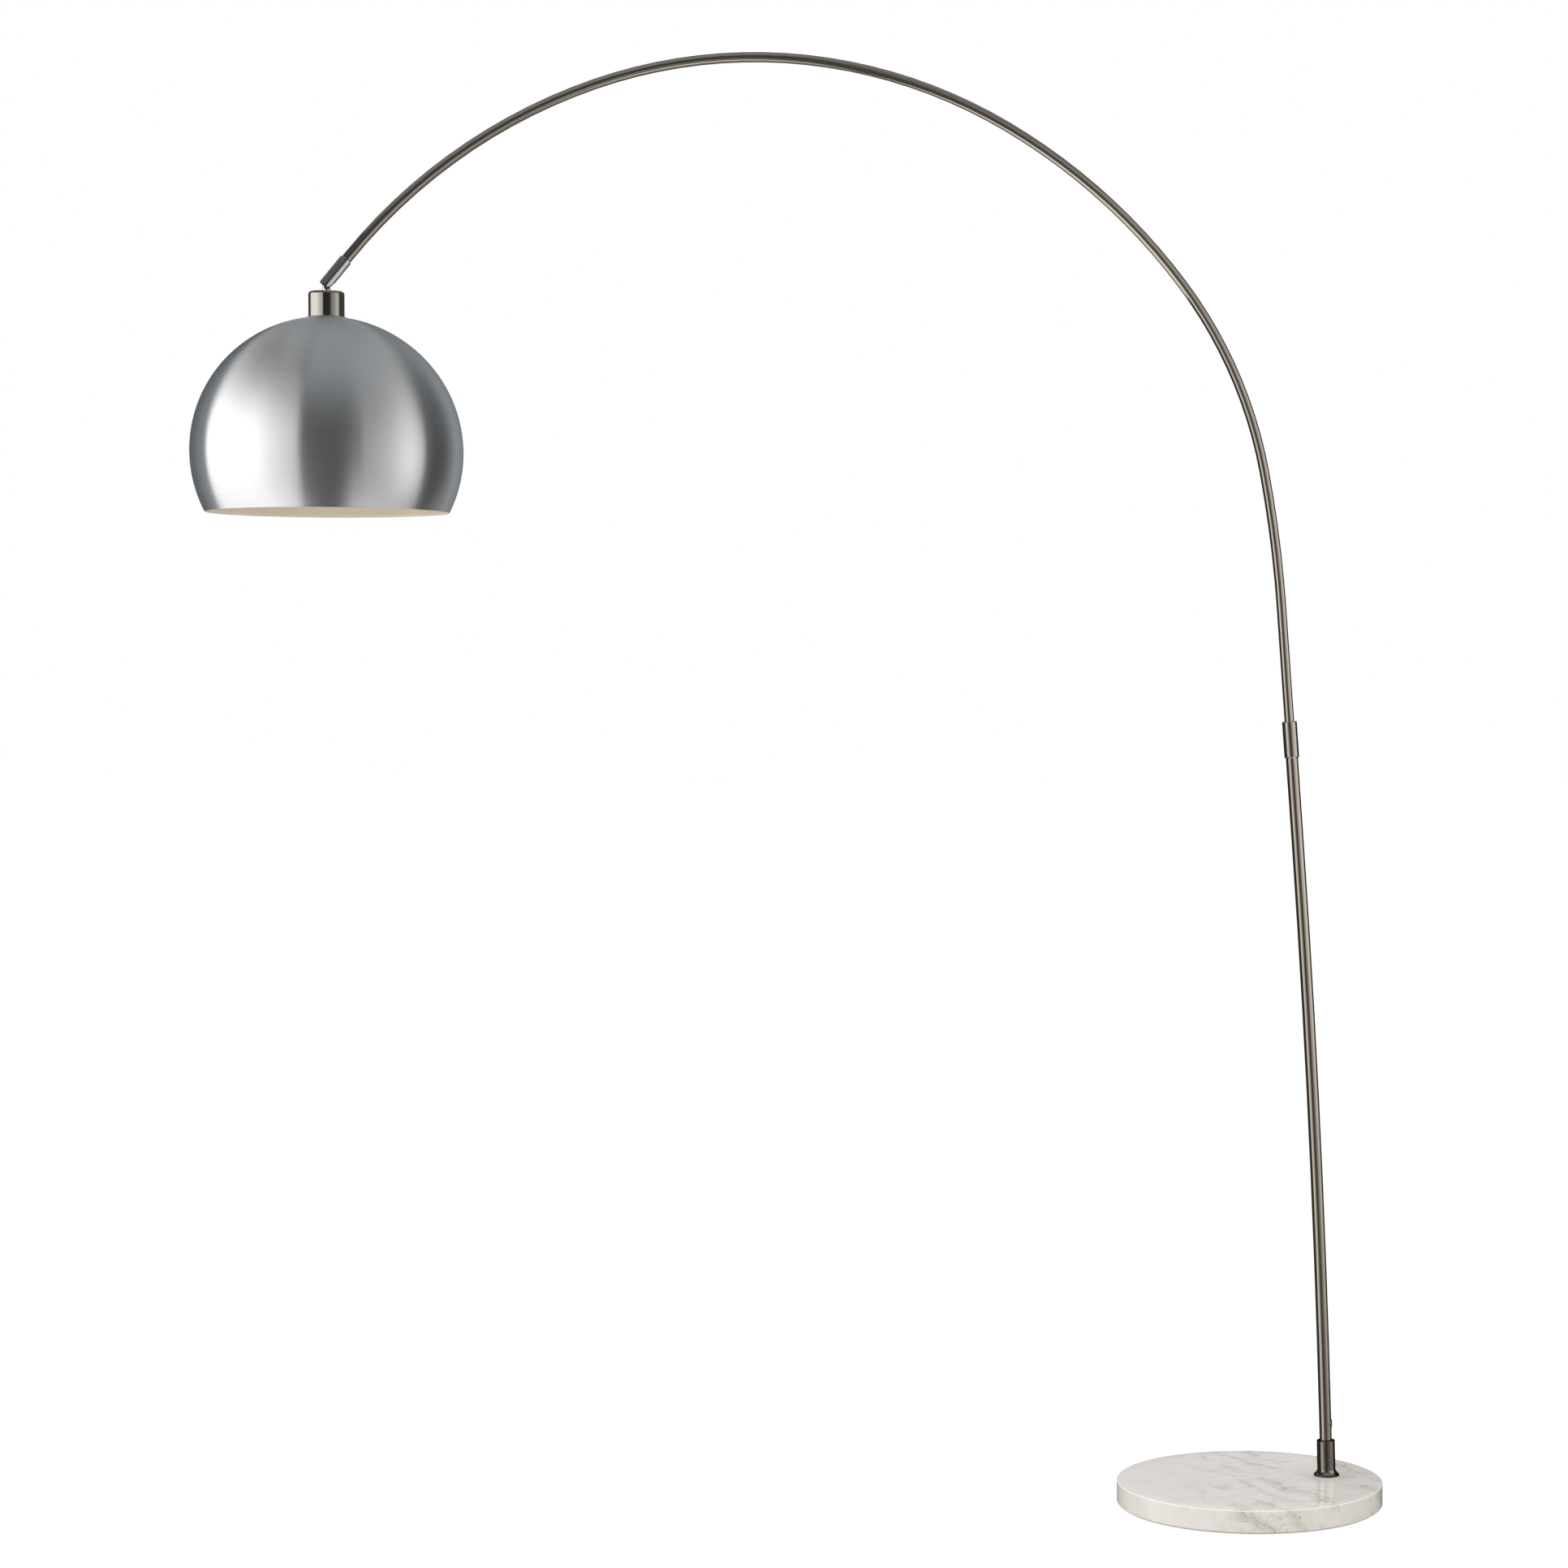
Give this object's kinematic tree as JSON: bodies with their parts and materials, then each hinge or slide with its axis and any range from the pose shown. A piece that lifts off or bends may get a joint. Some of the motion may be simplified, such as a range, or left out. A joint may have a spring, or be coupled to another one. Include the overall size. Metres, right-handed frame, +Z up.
{
  "type": "arc floor lamp",
  "caption": "Arc floor lamp: a round marble base, a slim two-stage pole bent into a long arc, and a domed metal shade hung from a slotted swivel.",
  "frame": {"origin": "centre of the underside of the round base, on the floor", "axes": "+Z up; the arc lies in the XZ plane and reaches towards -X, with the pole on the +X side of the base"},
  "size_m": [1.5107, 0.345, 1.8502],
  "materials": {
    "marble": "honed and polished marble, off-white with grey veins",
    "felt": "grey felt",
    "zinc_steel": "zinc-plated steel",
    "nickel": "brushed nickel plate",
    "chrome": "polished chrome plate",
    "spun_aluminium": "spun and brushed outside, warm white enamel inside",
    "black_plastic": "moulded",
    "white_plastic": "moulded",
    "brass": "drawn brass",
    "grommet_rubber": "matt rubber",
    "frosted_glass": "frosted",
    "cap_metal": "rolled thread"
  },
  "bodies": {
    "base": {"base_slab": "marble", "base_pad": "felt", "base_stud": "zinc_steel", "stud_washer": "zinc_steel", "stud_lock_washer": "zinc_steel", "stud_nut": "zinc_steel", "foot_gasket": "grommet_rubber", "foot_flange": "nickel", "base_collar": "nickel", "collar_screw": "zinc_steel", "pole_plug": "zinc_steel", "lower_pole": "nickel", "cord_outlet": "nickel", "pole_ferrule": "brass", "collet": "white_plastic"},
    "lock_collar": {"lock_collar": "nickel"},
    "arm": {"arc_tube": "nickel", "arm_bush": "white_plastic", "swivel_ring": "chrome", "swivel_washer": "brass", "swivel_nut": "brass"},
    "swivel": {"swivel_sleeve": "chrome", "pivot_pin": "chrome"},
    "head": {"head_stem": "chrome", "stem_nut": "zinc_steel", "socket_cup": "nickel", "lampholder_cap": "black_plastic", "lampholder_body": "black_plastic", "lampholder_shell": "brass", "lampholder_contact": "brass", "terminal_screws": "zinc_steel", "shade": "spun_aluminium", "shade_ring": "black_plastic", "bulb_glass": "frosted_glass", "bulb_cap": "cap_metal", "bulb_contact": "brass"}
  },
  "joints": [
    {"name": "collar_twist", "type": "hinge", "parent": "base", "child": "lock_collar", "pos_m": [0.06424, 0, 0.86], "axis": [-0.0755, 0, 0.9971], "range_deg": [0, 90]},
    {"name": "arm_height", "type": "slide", "parent": "base", "child": "arm", "axis": [-0.0755, 0, 0.9971], "range_m": [-0.1, 0]},
    {"name": "swivel_turn", "type": "hinge", "parent": "arm", "child": "swivel", "pos_m": [-1.17544, 0, 1.54912], "axis": [0.6235, 0, 0.7818], "range_deg": [-170, 170]},
    {"name": "head_tilt", "type": "hinge", "parent": "swivel", "child": "head", "pos_m": [-1.17544, 0, 1.54912], "axis": [0, -1, 0], "range_deg": [-38, 40]}
  ]
}
